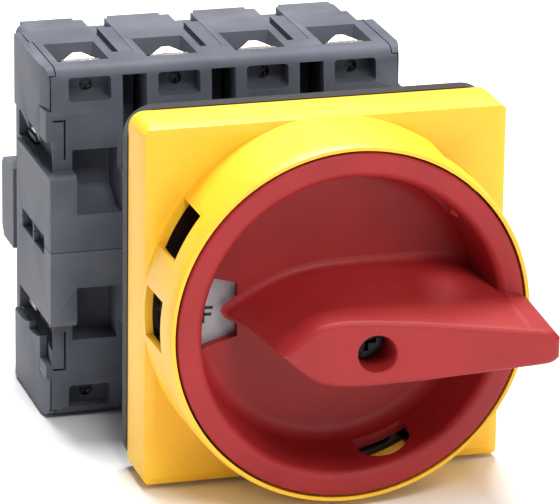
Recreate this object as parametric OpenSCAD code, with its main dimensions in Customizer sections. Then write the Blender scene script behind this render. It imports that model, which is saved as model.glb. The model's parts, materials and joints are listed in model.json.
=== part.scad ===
// Rotary isolator switch: four poles, mounted through a panel, with a padlockable handle.
// Every module draws lying down: x to the right, y up, z out of the panel towards the hand.
// upright() then stands the piece up, so that up is +Z and the handle faces -Y.
// The origin is on the turning axis, in the outer face of the panel.

/* [Front plate] */
// Width and height of the square front plate
plate_w = 60; // [54:0.5:75]
// Depth of the plate's frame
plate_t = 9.5; // [7.5:0.25:12]
// Radius of the plate's corners
plate_corner = 2.4; // [1.5:0.1:4]
// Bevel around the plate's front edge
plate_bevel = 1.1; // [0.5:0.1:1.6]
// Wall of the hollow plate
plate_wall = 2.2; // [1.6:0.1:3]
// Height of the round collar above the plate
collar_h = 14.5; // [12:0.25:18]
// Thickness of the collar at its lip
collar_lip = 1; // [0.8:0.1:1.5]
// Width of a padlock slot in the collar
slot_w = 8.4; // [5:0.1:9]
// Thickness of the seal between plate and panel
seal_t = 2.7; // [1.5:0.1:4]
// Radius of the seal's corners
seal_corner = 4.8; // [3:0.1:8]

/* [Panel] */
// Thickness of the panel that the switch is fixed through
panel_t = 3; // [1:0.5:5]
// Diameter of the panel's central cut-out
cutout_d = 22.5; // [20:0.5:24]
// Distance between the fixing screws, both ways
screw_pitch = 36; // [33:0.5:40]
// Radius of a fixing screw's thread
screw_r = 1.9; // [1.4:0.1:2.4]

/* [Handle] */
// Width of the flat ring around the handle's dish
ring_w = 4.1; // [3.5:0.1:5]
// Depth of the dish below the ring
dish_depth = 12.2; // [10:0.1:12.5]
// Radius of the dish's flat floor
dish_floor_r = 20.6; // [19:0.1:21]
// Fillet between the floor and the wall
floor_fillet = 2.6; // [1:0.1:2.8]
// Wall of the dish
dish_wall = 1.7; // [1.2:0.1:1.8]
// Height of the grip blade above the ring, at the turning axis
blade_h = 13; // [9:0.1:18]
// How much the blade's front face climbs towards its long end, per millimetre
blade_climb = 0.148; // [0:0.002:0.2]
// Radius of the handle's hub
hub_r = 7; // [6.2:0.1:8]
// Radius of the hole over the handle's screw
screw_well_r = 2.95; // [2.8:0.05:4]

/* [Drive] */
// Width across the square drive shaft
shaft_w = 6; // [5:0.25:7]
// Number of teeth on the drive pinion
pinion_teeth = 10; // [9:1:12]
// Size of the teeth: pitch diameter divided by the number of teeth
tooth_module = 0.8; // [0.7:0.05:0.9]
// Running clearance of a shaft in its bearing
running = 0.05; // [0.02:0.01:0.1]
// Gap left between parts that only lie next to each other
gap = 0.2; // [0.1:0.05:0.4]

/* [Body] */
// Distance from one pole to the next
pole_pitch = 15; // [14:0.25:18]
// Number of poles
poles = 4; // [3:1:4]
// Height of the body
body_h = 60; // [56:0.5:72]
// Distance from the panel's outer face back to the body's front face
body_front = 21.8; // [20:0.1:30]
// Depth of the pole housings, front to back
housing_d = 23.4; // [22.5:0.1:30]
// How far the middle of the body stands out in front
mid_step = 3.2; // [1:0.1:4]
// Half the height of that middle part
mid_h = 13; // [12.5:0.1:14]
// Depth of the rear base behind the housings
base_d = 6.3; // [5:0.1:9]
// Height of the foot on the rear base
foot_h = 14; // [10:0.5:20]
// How far the foot stands out behind the base
foot_d = 2.2; // [1:0.1:4]
// Radius of the tapped holes in the foot
foot_hole_r = 2; // [1.5:0.1:2.5]
// Distance between those holes
foot_hole_pitch = 45; // [30:0.5:50]

/* [Hidden] */
$fn = 64;

// Levels along z: in front of the panel they are positive, behind it negative
plate_front = seal_t + plate_t;
collar_top = plate_front + collar_h;
ring_top = collar_top + gap;
blade_top = ring_top + blade_h;
dish_low = ring_top - dish_depth;
mid_front = body_front - mid_step;
housing_back = body_front + housing_d;
base_back = housing_back + base_d;
foot_back = base_back + foot_d;

// Radii around the turning axis
collar_out = plate_w / 2;
collar_in = collar_out - 0.35 - collar_lip;
ring_out = collar_in - 0.35;
ring_in = ring_out - ring_w;
cutout_r = cutout_d / 2;
lock_out = collar_in - gap;
hub_bush_wall = 1.5;

// Levels inside the collar, from the seal up to the handle
deck_front = seal_t + 7.9;
lock_deck = deck_front + 1.5;
legend_t = 0.5;

// Places along x
body_half = body_h / 2;
body_left = -(poles - 1.5) * pole_pitch;
body_right = 1.5 * pole_pitch;
end_right = body_right + 0.8;
body_mid = (body_left + body_right) / 2;
pole_x = [for (i = [0:poles - 1]) (i - poles + 2) * pole_pitch];
wall_x = [for (i = [0:poles - 2]) (i - poles + 2.5) * pole_pitch];

// Inside a pole, measured back from the panel
cell_half = pole_pitch / 2 - 2;
clamp_front = body_front + 5.1;
bar_front = clamp_front + 9;
bar_t = 1.6;
bar_back = bar_front + bar_t;
slot_gap = 0.1;
bridge_t = 1.5;
bridge_front = bar_back + slot_gap + 0.6;
bridge_back = bridge_front + bridge_t;
carriage_back = housing_back - 0.6;
carriage_half = 7.4;
cavity_half = 11.8;

// Rack and pinion
pitch_r = pinion_teeth * tooth_module / 2;
tooth_pitch = PI * tooth_module;
stroke = pitch_r * PI / 2;
bearing_t = 2.8;
bearing_front = bar_front - 7.2;
bearing_half = 8.8;
rack_left = -stroke - 5;
rack_right = 5;
rack_room = stroke + rack_right + 1.4;
pinion_t = 4;
contact_w = 3;
off_x = -stroke / 2;
on_x = stroke / 2;

module upright() {
    rotate([90, 0, 0]) children();
}

module rounded_square(w, h, r) {
    square([w - 2 * r, h], center = true);
    square([w, h - 2 * r], center = true);
    for (sx = [-1, 1], sy = [-1, 1])
        translate([sx * (w / 2 - r), sy * (h / 2 - r)]) circle(r);
}

// A block between two corners
module block(low, high) {
    translate(low) cube(high - low);
}

// A round bar from z0 to z1
module rod(r, z0, z1) {
    translate([0, 0, z0]) cylinder(r = r, h = z1 - z0);
}

// A round tube from z0 to z1
module tube(r_out, r_in, z0, z1) {
    translate([0, 0, z0]) linear_extrude(z1 - z0) difference() {
        circle(r_out);
        circle(r_in);
    }
}

// A slab with the outline of its children, from z0 to z1
module slab(z0, z1) {
    translate([0, 0, z0]) linear_extrude(z1 - z0) children();
}

// A prism along x: its outline is given as [y, depth behind the panel]
module side_prism(x0, x1, points) {
    translate([x0, 0, 0]) rotate([90, 0, 90]) linear_extrude(x1 - x0)
        polygon([for (p = points) [p[0], -p[1]]]);
}

// A prism along y: its outline is given as [x, depth behind the panel]
module top_prism(y0, y1, points) {
    translate([0, y1, 0]) rotate([90, 0, 0]) linear_extrude(y1 - y0)
        polygon([for (p = points) [p[0], -p[1]]]);
}

// Four copies at the corners of a square
module at_corners(pitch) {
    for (sx = [-1, 1], sy = [-1, 1])
        translate([sx * pitch / 2, sy * pitch / 2, 0]) children();
}

// Points on an arc, in even steps
function arc(cx, cy, r, a0, a1, n) =
    [for (i = [0:n]) let (a = a0 + (a1 - a0) * i / n) [cx + r * cos(a), cy + r * sin(a)]];

// ---------------------------------------------------------------- front plate

// Angles of the padlock slots, counted from +x
slot_deg = [179, 150, 49, -71];
slot_low = plate_front + 0.6;
slot_high = plate_front + 9.4;
skin_back = plate_front - 2;
deck_back = deck_front - 2;

// The outline that bevels the front edges of the plate, seen from one side
module plate_side_profile() {
    h = plate_w / 2;
    b = plate_bevel;
    polygon([
        [-h, seal_t], [h, seal_t], [h, plate_front - 1.6 * b],
        [h - 0.4 * b, plate_front - 0.5 * b], [h - 1.6 * b, plate_front],
        [-h + 1.6 * b, plate_front], [-h + 0.4 * b, plate_front - 0.5 * b],
        [-h, plate_front - 1.6 * b]
    ]);
}

module front_plate() {
    color("#fdd43a") upright() difference() {
        union() {
            difference() {
                intersection() {
                    slab(seal_t, plate_front) rounded_square(plate_w, plate_w, plate_corner);
                    translate([0, plate_w / 2, 0]) rotate([90, 0, 0])
                        linear_extrude(plate_w) plate_side_profile();
                    translate([-plate_w / 2, 0, 0]) rotate([90, 0, 90])
                        linear_extrude(plate_w) plate_side_profile();
                }
                slab(seal_t - 1, skin_back)
                    rounded_square(plate_w - 2 * plate_wall, plate_w - 2 * plate_wall, 1.2);
                rod(collar_in, deck_back, plate_front + 1);
            }
            rod(collar_in + 0.1, deck_back, deck_front);
            at_corners(screw_pitch) rod(screw_r + 1.8, seal_t, deck_back + 0.1);
            tube(cutout_r - 0.35, hub_r + hub_bush_wall + 1, -panel_t + 0.4, deck_back + 0.1);
            // The foot that the collar stands on
            tube(collar_out - 0.05, collar_in, deck_back, plate_front);
        }
        rod(hub_r + hub_bush_wall, -panel_t - 1, plate_front + 1);
        at_corners(screw_pitch) rod(screw_r, seal_t - 1, deck_front - 0.6);
    }
}

// The collar round the handle leans in slightly towards its thin lip; padlocks pass through its slots
module front_collar() {
    color("#fdd43a") upright() difference() {
        rotate_extrude() polygon([
            [collar_in, plate_front], [collar_out - 0.05, plate_front],
            [collar_out - 0.05, plate_front + 0.4],
            [collar_out - 0.3, collar_top - 4], [collar_out - 0.5, collar_top - 0.8],
            [collar_out - 0.8, collar_top], [collar_in, collar_top]
        ]);
        for (a = slot_deg)
            rotate([0, 0, a])
                block([collar_in - 2, -slot_w / 2, slot_low], [collar_out + 2, slot_w / 2, slot_high]);
    }
}

legend_in = 14.2;
legend_out = ring_in + 0.6;
lock_in = lock_out - 1.2;

module lock_ring() {
    color("#1b1817") upright() difference() {
        union() {
            tube(lock_out, hub_r + hub_bush_wall + 0.4, deck_front, lock_deck);
            tube(legend_in - gap, hub_r + hub_bush_wall + 0.4, deck_front, lock_deck + legend_t);
            // A low rim outside the labels, then the wall that the padlocks pass through
            tube(legend_out + 0.7, legend_out + gap / 2, deck_front, lock_deck + 1.2);
            tube(lock_out, lock_in, deck_front, slot_high + 0.2);
        }
        for (a = slot_deg)
            rotate([0, 0, a]) {
                block([lock_in - 1, -slot_w / 2, lock_deck], [lock_out + 1, slot_w / 2, slot_high + 1]);
            }
    }
}

// A half ring that carries the two position labels
module legend_plate() {
    color("#b9b6b6") upright() rotate([0, 0, 25]) rotate_extrude(angle = 180)
        translate([legend_in, lock_deck]) square([legend_out - legend_in, legend_t]);
}

module hub_bush() {
    color("#e8e4da") upright() union() {
        tube(hub_r + hub_bush_wall, hub_r + running, -panel_t + 0.6, lock_deck);
        tube(hub_r + hub_bush_wall + 0.3, hub_r + running, lock_deck, lock_deck + 0.5);
    }
}

module panel_seal() {
    color("#1d1a19") upright() difference() {
        slab(0, seal_t) rounded_square(plate_w + 0.4, plate_w + 0.4, seal_corner);
        rod(cutout_r, -1, seal_t + 1);
        at_corners(screw_pitch) rod(screw_r + 0.3, -1, seal_t + 1);
        // A shallow groove that leaves two sealing beads on the panel side
        slab(-1, 0.6) difference() {
            rounded_square(plate_w - 5, plate_w - 5, seal_corner - 1.5);
            circle(cutout_r + 2);
            for (sx = [-1, 1], sy = [-1, 1])
                translate([sx * screw_pitch / 2, sy * screw_pitch / 2]) circle(screw_r + 2.2);
        }
    }
}

// ---------------------------------------------------------------- behind the panel

tower_w = screw_pitch + 8;
flange_t = 3;
tower_front = panel_t;
tower_screw_x = pole_pitch / 2;
tower_screw_y = 8.5;

module mounting_tower() {
    color("#3b3d42") upright() difference() {
        union() {
            slab(-tower_front - flange_t, -tower_front) rounded_square(tower_w, tower_w, 4);
            slab(-mid_front, -tower_front - flange_t + 0.1) rounded_square(30, 24, 3);
            slab(-mid_front, -mid_front + 2.5) rounded_square(tower_w - 3, 2 * mid_h - 2, 2);
            for (s = [-1, 1]) {
                block([s * 12 - 1.2, -tower_w / 2 + 3, -tower_front - 9],
                    [s * 12 + 1.2, tower_w / 2 - 3, -tower_front - flange_t + 0.1]);
            }
        }
        rod(shaft_w * 0.75 + 0.3, -mid_front - 1, 1);
        tube(11, 6.4, -mid_front + 2.5, -tower_front - flange_t);
        // Openings above and below that show the spring
        for (s = [-1, 1])
            block([-5, s > 0 ? 7 : -20, -mid_front + 4], [5, s > 0 ? 20 : -7, -tower_front - flange_t - 1.5]);
        at_corners(screw_pitch) rod(screw_r + 0.3, -tower_front - flange_t - 1, 1);
        for (sx = [-1, 1], sy = [-1, 1])
            translate([sx * tower_screw_x, sy * tower_screw_y, 0]) {
                rod(1.6, -mid_front - 1, 1);
                rod(3, -mid_front + 2.5, -tower_front - flange_t - 0.2 + 4);
            }
    }
}

// A pan-head screw with a cross slot: its shank runs from z0 to z1, and the head points to +z
module cross_screw(head_r, head_h, shank_r, z0, z1) {
    difference() {
        union() {
            rod(shank_r, z0, z1 + 0.1);
            rod(head_r, z1, z1 + head_h);
        }
        for (a = [0, 90])
            rotate([0, 0, a])
                block([-head_r * 0.6, -0.35, z1 + head_h * 0.45], [head_r * 0.6, 0.35, z1 + head_h + 1]);
    }
}

module panel_screws() {
    color("#c9cacc") upright() at_corners(screw_pitch)
        mirror([0, 0, 1])
            cross_screw(screw_r * 1.75, 2, screw_r - running, 0.8 - deck_front, tower_front + flange_t);
}

module tower_screws() {
    color("#c9cacc") upright()
        for (sx = [-1, 1], sy = [-1, 1])
            translate([sx * tower_screw_x, sy * tower_screw_y, 0])
                cross_screw(2.6, 1.8, 1.5, -mid_front - 7, -mid_front + 2.5);
}

// ---------------------------------------------------------------- pole housings

round_r = 2.4;
cover_t = 1.2;
cover_low = 18.2;
band_depth = 2.9;
funnel_half = 4.3;
funnel_front = clamp_front - 0.1;
funnel_back = funnel_front + 10.3;
screw_y = body_half - 3.55;
driver_r = 1.1;
terminal_y0 = body_half - 11;
terminal_y1 = body_half - 2.6;

// Outline of one half of the body from the side, as [height, depth]
function half_outline() = concat(
    [[0, mid_front]],
    arc(mid_h - 1.1, mid_front + 1.1, 1.1, -90, 0, 5),
    [[mid_h, body_front], [body_half - 7.5, body_front]],
    arc(body_half - round_r, body_front + 0.5 + round_r, round_r, -84, 0, 7),
    [[body_half, housing_back], [0, housing_back]]
);

// The hollow spaces of one pole, upper half
module pole_cell() {
    // Room for the clamp and its screw
    block([-cell_half, terminal_y0, -bar_back - 1.6], [cell_half, terminal_y1, -clamp_front + 0.2]);
    // Slot for the contact bar on its way to the middle
    block([-4.2, cavity_half - 1, -bar_back - 0.1], [4.2, terminal_y1, -bar_front + 0.1]);
    // Arc chamber
    block([-cell_half, cavity_half - 0.1, -housing_back + 1.6],
        [cell_half, terminal_y0 - 1.2, -bar_back - 0.5]);
    // Conductor funnel: two wedge shapes cut each other into a tapered mouth
    intersection() {
        side_prism(-funnel_half, funnel_half, [
            [body_half + 0.1, funnel_front - 0.1], [body_half + 0.1, funnel_back + 0.1],
            [terminal_y1 - 0.1, bar_front - 0.1], [terminal_y1 - 0.1, funnel_front + 1]
        ]);
        slab(-funnel_back - 1, -funnel_front + 1) polygon([
            [-funnel_half, body_half + 0.1], [funnel_half, body_half + 0.1],
            [funnel_half - 0.9, terminal_y1 - 0.1], [-funnel_half + 0.4, terminal_y1 - 0.1]
        ]);
    }
    // Window over the terminal screw: a rounded pocket, then a round hole for the driver
    translate([0, screw_y, 0]) {
        slab(-body_front - 3.4, 1 - body_front) rounded_square(7.1, 3.9, 0.6);
        rod(driver_r, -clamp_front - 1, -body_front);
        rod(1.95, -clamp_front - 1, 1.1 - clamp_front);
    }
}

module half_housing() {
    difference() {
        side_prism(body_left, end_right, half_outline());
        for (x = pole_x)
            translate([x, 0, 0]) pole_cell();
        // Deep slots between the poles
        for (x = wall_x)
            translate([x, 0, 0])
                block([-2.05, body_half - 14, -body_front - 9], [2.05, body_half - 1.6, 1 - mid_front]);
        // Marker grooves with a small key in each, on the face over the pole walls
        for (x = wall_x)
            translate([x, 0, 0]) marker_groove();
        // Long middle space for the carriage
        block([body_left + 2, -1, -housing_back - 1], [body_right - 2.4, cavity_half, -bar_front]);
        // Room in front of it for the rack, the pinion and their bearing
        block([-rack_room, -1, -bar_front - 0.1], [rack_room, bearing_half, -bearing_front]);
        rod(shaft_w * 0.75 + 0.3, -housing_back, 1);
        // Deep front pocket of the outermost pole
        side_prism(pole_x[0] - 3.05, pole_x[0] + cell_half - 1, [
            [6.3, 0], [6.3, mid_front + 4], [8.8, body_front + 5.4],
            [mid_h + 3.4, body_front + 5.4], [mid_h + 3.4, 0]
        ]);
        for (x = [-tower_screw_x, tower_screw_x])
            translate([x, tower_screw_y, 0]) rod(1.5, -mid_front - 8, 1);
        for (x = wall_x)
            translate([x, base_screw_y, 0]) rod(base_screw_r, -housing_back - 1, -housing_back + 4.5);
        // Seats of the two end covers
        cover_seat(body_left, 1);
        cover_seat(end_right, -1);
        // Thin shadow gap beside the latch tongue near the outer pole
        block([body_left + 3, mid_h + 1.8, -body_front - 1.2],
            [body_left + 3.35, body_half - 8.4, 1 - body_front]);
        block([body_left + 1.2, body_half - 8.75, -body_front - 1.2],
            [body_left + 3.35, body_half - 8.4, 1 - body_front]);
        // Shallow corner behind the covers
        block([body_left - 1, -1, -housing_back - 1], [body_left + 0.9, body_half + 1, -housing_back + 2.6]);
        block([body_right - 2, -1, -housing_back - 1], [end_right + 1, body_half + 1, -housing_back + 5.7]);
        // Sunk hollow below the cover that leaves finger room for the latch
        finger_hollow();
        translate([body_left + end_right, 0, 0]) mirror([1, 0, 0]) finger_hollow();
    }
}

module finger_hollow() {
    top_prism(mid_h - 0.4, cover_low - 0.2, [
        [body_left - 1, mid_front - 1], [body_left + 1.1, body_front - 0.1],
        [body_left + band_depth, body_front + 8], [body_left + band_depth, housing_back - 0.8],
        [body_left - 1, housing_back - 0.8]
    ]);
}

module marker_groove() {
    difference() {
        block([-1.9, body_half - 1.2, -base_back], [1.9, body_half + 1, -clamp_front - 3.4]);
        side_prism(-0.6, 2, [
            [body_half - 2, clamp_front], [body_half - 2, base_back + 1],
            [body_half - 0.1, base_back - 5], [body_half - 0.1, clamp_front + 4.2]
        ]);
    }
}

// The step that an end cover lies in. side is 1 at the left end and -1 at the right
module cover_seat(x, side) {
    translate([x, 0, 0]) mirror([side < 0 ? 1 : 0, 0, 0]) {
        block([-1, cover_low - gap, -housing_back - 1], [cover_t + gap, body_half + 1, -body_front - 4.6 + gap]);
        block([-1, body_half - 6.8 - gap, -body_front - 5], [cover_t - 0.4 + gap, body_half + 1, 1 - body_front]);
        block([-1, body_half - 1.1 - gap, -funnel_back - 2], [cover_t + 0.6 + gap, body_half + 1, 1 - body_front]);
    }
}

// An end cover, upper half, drawn for the left end
module cover_shape(depth_end) {
    intersection() {
        union() {
            block([0, cover_low, -depth_end], [cover_t, body_half, -body_front - 4.6]);
            block([0, body_half - 6.8, -body_front - 4.7], [cover_t - 0.4, body_half, -body_front]);
            block([0, body_half - 1.1, -funnel_back - 2 + gap], [cover_t + 0.6, body_half, -body_front]);
        }
        side_prism(-1, 4, half_outline());
        // The front edge leans back towards the end of the body
        top_prism(0, body_half + 1, [
            [0, body_front + 4], [0.9, body_front], [4, body_front - 1],
            [4, housing_back + 1], [0.8, housing_back + 1], [0, housing_back - 1]
        ]);
    }
    // Hook teeth along the lower edge
    for (d = [0, 7.5])
        side_prism(0, cover_t, [
            [cover_low + 0.1, body_front + 4.6 + d], [cover_low + 0.1, body_front + 10.6 + d],
            [cover_low - 0.7, body_front + 6.2 + d], [cover_low - 1.3, body_front + 4.6 + d]
        ]);
}

module left_cover() {
    translate([body_left, 0, 0]) cover_shape(housing_back - 0.2);
}

module right_cover() {
    translate([end_right, 0, 0]) mirror([1, 0, 0]) cover_shape(housing_back - 5.9);
}

module upper_housing() {
    color("#5b5d64") upright() difference() {
        half_housing();
        // Half of the long window in the end face, with one upright rib in it
        end_window();
        block([body_left - 1, -1, -housing_back - 1], [end_right + 1, parting / 2, 1]);
    }
}

module lower_housing() {
    color("#5b5d64") upright() mirror([0, 1, 0]) difference() {
        half_housing();
        end_window();
        block([body_left - 1, -1, -housing_back - 1], [end_right + 1, parting / 2, 1]);
        // The hollow above the lower cover is taller than the one at the top
        top_prism(cover_low - 0.3, cover_low + 2.4, [
            [body_left - 1, mid_front - 1], [body_left + 0.9, body_front - 0.1],
            [body_left + cover_t + gap, body_front + 4.8], [body_left - 1, body_front + 4.8]
        ]);
    }
}

parting = 0.12;

module end_window() {
    difference() {
        block([body_left - 1, -3, -body_front - 16.8], [body_left + 1.5, 1.6, -body_front - 1.2]);
        block([body_left - 2, -4, -body_front - 9.2], [body_left + 0.9, 2, -body_front - 8.6]);
    }
}

module left_cover_upper() {
    color("#63656c") upright() left_cover();
}

module left_cover_lower() {
    color("#63656c") upright() mirror([0, 1, 0]) left_cover();
}

module right_cover_upper() {
    color("#63656c") upright() right_cover();
}

module right_cover_lower() {
    color("#63656c") upright() mirror([0, 1, 0]) right_cover();
}

// The rear base closes the housings, and its foot reaches the wall behind
base_left = body_left + 1.7;
base_right = body_right - 2;
foot_mid = -0.8;

module rear_base() {
    color("#5b5d64") upright() difference() {
        union() {
            slab(-base_back + 1.3, -housing_back) translate([(base_left + base_right) / 2, 0])
                rounded_square(base_right - base_left, body_h, 1.6);
            // Castellated edges above and below
            for (x = pole_x, s = [-1, 1])
                block([x - 4.8, s > 0 ? body_half - 4 : -body_half, -base_back],
                    [x + 4.1, s > 0 ? body_half : 4 - body_half, -base_back + 1.4]);
            block([base_left + 4, -body_half + 4, -base_back], [base_right - 4, body_half - 4, -base_back + 1.4]);
            // The foot, with eased ends
            side_prism(body_left, base_right, [
                [foot_mid - foot_h / 2, housing_back + 0.1], [foot_mid - foot_h / 2, foot_back - 1.4],
                [foot_mid - foot_h / 2 + 1.8, foot_back], [foot_mid + foot_h / 2 - 1.2, foot_back],
                [foot_mid + foot_h / 2, foot_back - 1.2], [foot_mid + foot_h / 2, housing_back + 0.1]
            ]);
        }
        // Light pockets in the inner side, between the pole walls
        for (x = pole_x, s = [-1, 1])
            block([x - cell_half, s > 0 ? 10 : -body_half + 4, -housing_back - 3],
                [x + cell_half, s > 0 ? body_half - 4 : -10, 1 - housing_back]);
        for (x = wall_x)
            translate([x, 0, 0])
                block([-1.9, body_half - 1.2, -base_back - 1], [1.9, body_half + 1, 1 - housing_back]);
        for (s = [-1, 1])
            translate([body_mid + s * foot_hole_pitch / 2, foot_mid, 0])
                rod(foot_hole_r, -foot_back - 1, -housing_back - 1.2);
        for (x = wall_x, s = [-1, 1])
            translate([x, s * base_screw_y, 0]) {
                rod(base_screw_r + 0.2, -base_back - 1, 1 - housing_back);
                rod(2.6, -base_back - 1, -base_back + 1.9);
            }
        rod(4, -housing_back - 3, 1 - housing_back);
    }
}

base_screw_y = 21;
base_screw_r = 1.3;

module base_screws() {
    color("#c9cacc") upright()
        for (x = wall_x, s = [-1, 1])
            translate([x, s * base_screw_y, 0]) mirror([0, 0, 1])
                cross_screw(2.3, 1.6, base_screw_r, housing_back - 4, base_back - 1.9);
}

// ---------------------------------------------------------------- inside the body

bearing_r = 5;

// A plate across the middle space that carries the shaft's front bearing
module bearing_plate() {
    color("#2b2c30") upright() difference() {
        block([-rack_room + gap, -bearing_half + gap, -bearing_front - bearing_t],
            [rack_room - gap, bearing_half - gap, -bearing_front - 0.2]);
        rod(bearing_r + running, -bar_front - 1, 1 - bearing_front);
    }
}

// A wound spring that snaps the shaft into its end positions
spring_turns = 3.5;
spring_r = 7.4;
spring_wire = 0.55;

module index_spring() {
    sides = 8;
    steps = 24;
    rings = ceil(spring_turns * steps);
    length = 7;
    start = -mid_front + 3.6;
    points = [for (i = [0:rings], k = [0:sides - 1])
        let (a = 360 * i / steps, b = 360 * k / sides, r = spring_r + spring_wire * cos(b))
            [r * cos(a), r * sin(a), start + length * i / rings + spring_wire * sin(b)]];
    skin = [for (i = [0:rings - 1], k = [0:sides - 1])
        let (m = (k + 1) % sides)
            [i * sides + k, i * sides + m, (i + 1) * sides + m, (i + 1) * sides + k]];
    color("#b8babd") upright() polyhedron(
        points,
        concat([[for (k = [0:sides - 1]) sides - 1 - k]], skin, [[for (k = [0:sides - 1]) rings * sides + k]])
    );
}

bar_low = 8.6;
rivet_r = 1.1;

// The contact bars of one row: a wide end in the clamp, a narrow tongue and a contact rivet
module contact_bars() {
    for (x = pole_x)
        translate([x, 0, 0]) {
            block([-4, terminal_y0 + 0.4, -bar_back], [4, terminal_y1 - 0.2, -bar_front]);
            block([on_x - 1.2, bar_low + 0.1, -bar_back], [4, terminal_y0 + 0.5, -bar_front]);
            block([on_x - contact_w / 2, bar_low, -bar_back], [on_x + contact_w / 2, bar_low + 3, -bar_front]);
            translate([on_x, bar_low + 1.5, 0]) rod(rivet_r, -bar_back - 0.55, -bar_back + 0.1);
        }
}

module line_contacts() {
    color("#b87441") upright() contact_bars();
}

module load_contacts() {
    color("#b87441") upright() mirror([0, 1, 0]) contact_bars();
}

cage_half = 5.1;
cage_t = 1;
cage_y0 = terminal_y0 + 0.6;
cage_y1 = terminal_y1 - 0.4;

// Steel cages around the bars: the screw runs in their front wall
module clamp_cages() {
    for (x = pole_x)
        translate([x, 0, 0]) difference() {
            block([-cage_half, cage_y0, -bar_back - 1.3], [cage_half, cage_y1, -clamp_front]);
            block([-cage_half + cage_t, cage_y0 - 1, -bar_back], [cage_half - cage_t, cage_y1 + 1, -clamp_front - 1.2]);
            translate([0, screw_y, 0]) rod(1.75, -clamp_front - 2, 1 - clamp_front);
        }
}

module line_clamp_cages() {
    color("#c8c9c6") upright() clamp_cages();
}

module load_clamp_cages() {
    color("#c8c9c6") upright() mirror([0, 1, 0]) clamp_cages();
}

plate_gap = 1.5;
lip_half = 3.2;

// Pressure plates that press the conductor onto the bar. Each bends over into a pointed lip in its funnel
module clamp_plates() {
    front = clamp_front + plate_gap;
    top = body_half - 0.3;
    for (x = pole_x)
        translate([x, 0, 0]) {
            top_prism(cage_y0 + 0.6, top - 0.2, [
                [-lip_half, front - 0.25], [-2, front], [2, front], [lip_half, front - 0.25],
                [lip_half, front + 0.7],
                [0.9, front + 1.2], [-0.9, front + 1.2], [-lip_half, front + 0.7]
            ]);
            // The lip rises towards its point
            intersection() {
                top_prism(top - 2.6, body_half + 0.1, [
                    [-lip_half, front - 0.5], [lip_half, front - 0.5], [lip_half, front + 0.5],
                    [0.7, front + 3.1], [-0.7, front + 3.1], [-lip_half, front + 0.5]
                ]);
                side_prism(-lip_half, lip_half, [
                    [top - 0.7, front - 0.5], [body_half, front + 3.2], [top - 0.5, front + 3.2],
                    [top - 1.5, front + 0.7], [top - 1.5, front - 0.5]
                ]);
            }
        }
}

module line_clamp_plates() {
    color("#e4ddd4") upright() clamp_plates();
}

module load_clamp_plates() {
    color("#e4ddd4") upright() mirror([0, 1, 0]) clamp_plates();
}

module terminal_screw_row() {
    for (x = pole_x)
        translate([x, screw_y, 0])
            cross_screw(1.85, 0.9, 1.7, -clamp_front - plate_gap + 0.05, -clamp_front + 0.05);
}

module line_terminal_screws() {
    color("#d6d7d9") upright() terminal_screw_row();
}

module load_terminal_screws() {
    color("#d6d7d9") upright() mirror([0, 1, 0]) terminal_screw_row();
}

// Stacks of thin steel plates that split the arc, one stack above and one below each bridge
module arc_plates() {
    color("#8d9096") upright()
        for (x = pole_x, s = [-1, 1], k = [0:2])
            translate([x, s * (cavity_half + 1.4 + 1.6 * k), 0])
                block([-cell_half + gap, -0.35, -housing_back + 1.8], [cell_half - gap, 0.35, -bar_back - 0.7]);
}

// ---------------------------------------------------------------- handle

// The padlock windows in the dish's wall: their angles
window_deg = [49, -71];
window_w = 8.8;
window_low = dish_low + floor_fillet - 0.3;
window_top = ring_top - 2.5;
skirt_back = slot_high + 0.7;
hub_back = -panel_t + 1.4;
screw_seat = ring_top + 3.9;
socket_top = dish_low + 8;
wall_foot_r = dish_floor_r + floor_fillet;

// Outline of the dish: flat ring, rounded lip, leaning wall, fillet and flat floor
module dish() {
    fillet_z = dish_low + floor_fillet;
    rotate_extrude() polygon(concat(
        [[0, dish_low]],
        arc(dish_floor_r, fillet_z, floor_fillet, -90, -5, 6),
        arc(ring_in + 1.4, ring_top - 1.4, 1.4, 172, 90, 5),
        [[ring_out - 0.4, ring_top], [ring_out, ring_top - 0.4], [ring_out, skirt_back],
         [ring_in + dish_wall, skirt_back]],
        arc(dish_floor_r, fillet_z, floor_fillet + dish_wall, 0, -90, 5),
        [[0, dish_low - dish_wall]]
    ));
}

// Opening with a bowed head, cut outwards through the wall and the skirt at angle 0
module padlock_window() {
    half = window_w / 2;
    bow = 3.4;
    translate([wall_foot_r - 0.8, 0, 0]) rotate([90, 0, 90]) linear_extrude(ring_out - wall_foot_r + 1.8)
        polygon(concat(
            [[-half, window_low], [half, window_low]],
            [for (k = [0:8]) let (a = 20 + 140 * k / 8)
                [half * cos(a) / cos(20), window_top - bow + bow * (sin(a) - sin(20)) / (1 - sin(20))]]
        ));
}

// Opening in the floor and the lower wall next to the pointer: its ends are radial
module label_window() {
    half = 16;
    slab(dish_low - dish_wall - 1, ring_top - 6) polygon([
        for (k = [[15.9, -1], [legend_out, -1], [legend_out + 0.6, 0], [legend_out, 1], [15.9, 1]])
            [-k[0] * cos(half * k[1]), k[0] * sin(half * k[1])]
    ]);
}

blade_end = plate_w / 2 - 1.7;

// A smooth line through the points p, with n steps between neighbours
function through(p, n) = concat(
    [for (i = [0:len(p) - 2], k = [0:n - 1])
        let (t = k / n, a = p[max(i - 1, 0)], b = p[i], c = p[i + 1], d = p[min(i + 2, len(p) - 1)])
            b + (c - a) * t / 2 + (a * 2 - b * 5 + c * 4 - d) * t * t / 2 + (b * 3 - a - c * 3 + d) * t * t * t / 2],
    [p[len(p) - 1]]
);

// A closed outline from its upper half
module both_sides(half) {
    n = len(half) - 1;
    polygon(concat(half, [for (k = [0:n]) [half[n - k][0], -half[n - k][1]]]));
}

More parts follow.
